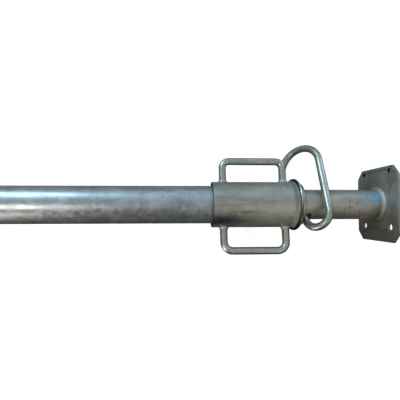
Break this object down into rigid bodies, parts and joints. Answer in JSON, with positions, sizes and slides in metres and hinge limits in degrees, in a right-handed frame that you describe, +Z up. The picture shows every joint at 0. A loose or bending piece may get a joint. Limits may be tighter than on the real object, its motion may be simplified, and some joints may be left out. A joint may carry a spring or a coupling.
{
  "type": "door security bar",
  "caption": "Telescopic steel bar with square end plates, a threaded sleeve nut with bail handles and a bent locking pin.",
  "frame": {"origin": "centre of the base plate's outer face, on the bar's axis", "axes": "+X along the bar from the base plate to the head plate, +Z up from the ground that the bar lies on, +Y to the side"},
  "size_m": [1.009, 0.1819, 0.12],
  "materials": {
    "outer_tube_zinc": "hot-dip galvanised, dull with faint spangle",
    "inner_tube_zinc": "hot-dip galvanised, warm grey and spotted",
    "sleeve_zinc": "matte weathered zinc",
    "round_bar_zinc": "satin zinc",
    "plate_steel": "dark mottled zinc",
    "plain_steel": "dull machined steel",
    "weld": "rippled weld bead under zinc"
  },
  "bodies": {
    "outer": {"base_plate": "plate_steel", "base_plate_weld": "weld", "outer_tube": "outer_tube_zinc", "outer_tube_guide_bush": "plain_steel"},
    "washer": {"thrust_washer": "plain_steel"},
    "nut": {"nut_sleeve": "sleeve_zinc", "nut_bearing_ring": "round_bar_zinc", "nut_ring_weld": "weld", "upper_handle": "round_bar_zinc", "upper_handle_left_weld": "weld", "upper_handle_right_weld": "weld", "lower_handle": "round_bar_zinc", "lower_handle_left_weld": "weld", "lower_handle_right_weld": "weld"},
    "inner": {"inner_tube": "inner_tube_zinc", "inner_tube_foot_ring": "plain_steel", "foot_ring_weld": "weld", "head_plate": "plate_steel", "head_plate_weld": "weld"},
    "pin": {"pin_shank": "round_bar_zinc"},
    "loop": {"pin_loop": "round_bar_zinc"}
  },
  "joints": [
    {"name": "screw_travel", "type": "slide", "parent": "outer", "child": "washer", "axis": [1, 0, 0], "range_m": [0, 0.08]},
    {"name": "nut_turn", "type": "hinge", "parent": "washer", "child": "nut", "pos_m": [0.865, 0, 0], "axis": [1, 0, 0], "range_deg": [0, 3600]},
    {"name": "tube_extension", "type": "slide", "parent": "washer", "child": "inner", "axis": [1, 0, 0], "range_m": [0, 0.6]},
    {"name": "pin_pull", "type": "slide", "parent": "inner", "child": "pin", "axis": [0, -0.9063, 0.4226], "range_m": [0, 0.055]},
    {"name": "pin_swing", "type": "hinge", "parent": "pin", "child": "loop", "pos_m": [0.8818, 0, 0], "axis": [0, -0.9063, 0.4226], "range_deg": [0, 45]}
  ],
  "couplings": [
    {"joint": "screw_travel", "follows": "nut_turn", "m_per_rad": 0.0012732},
    {"joint": "pin_swing", "follows": "pin_pull", "rad_per_m": 14.28}
  ]
}
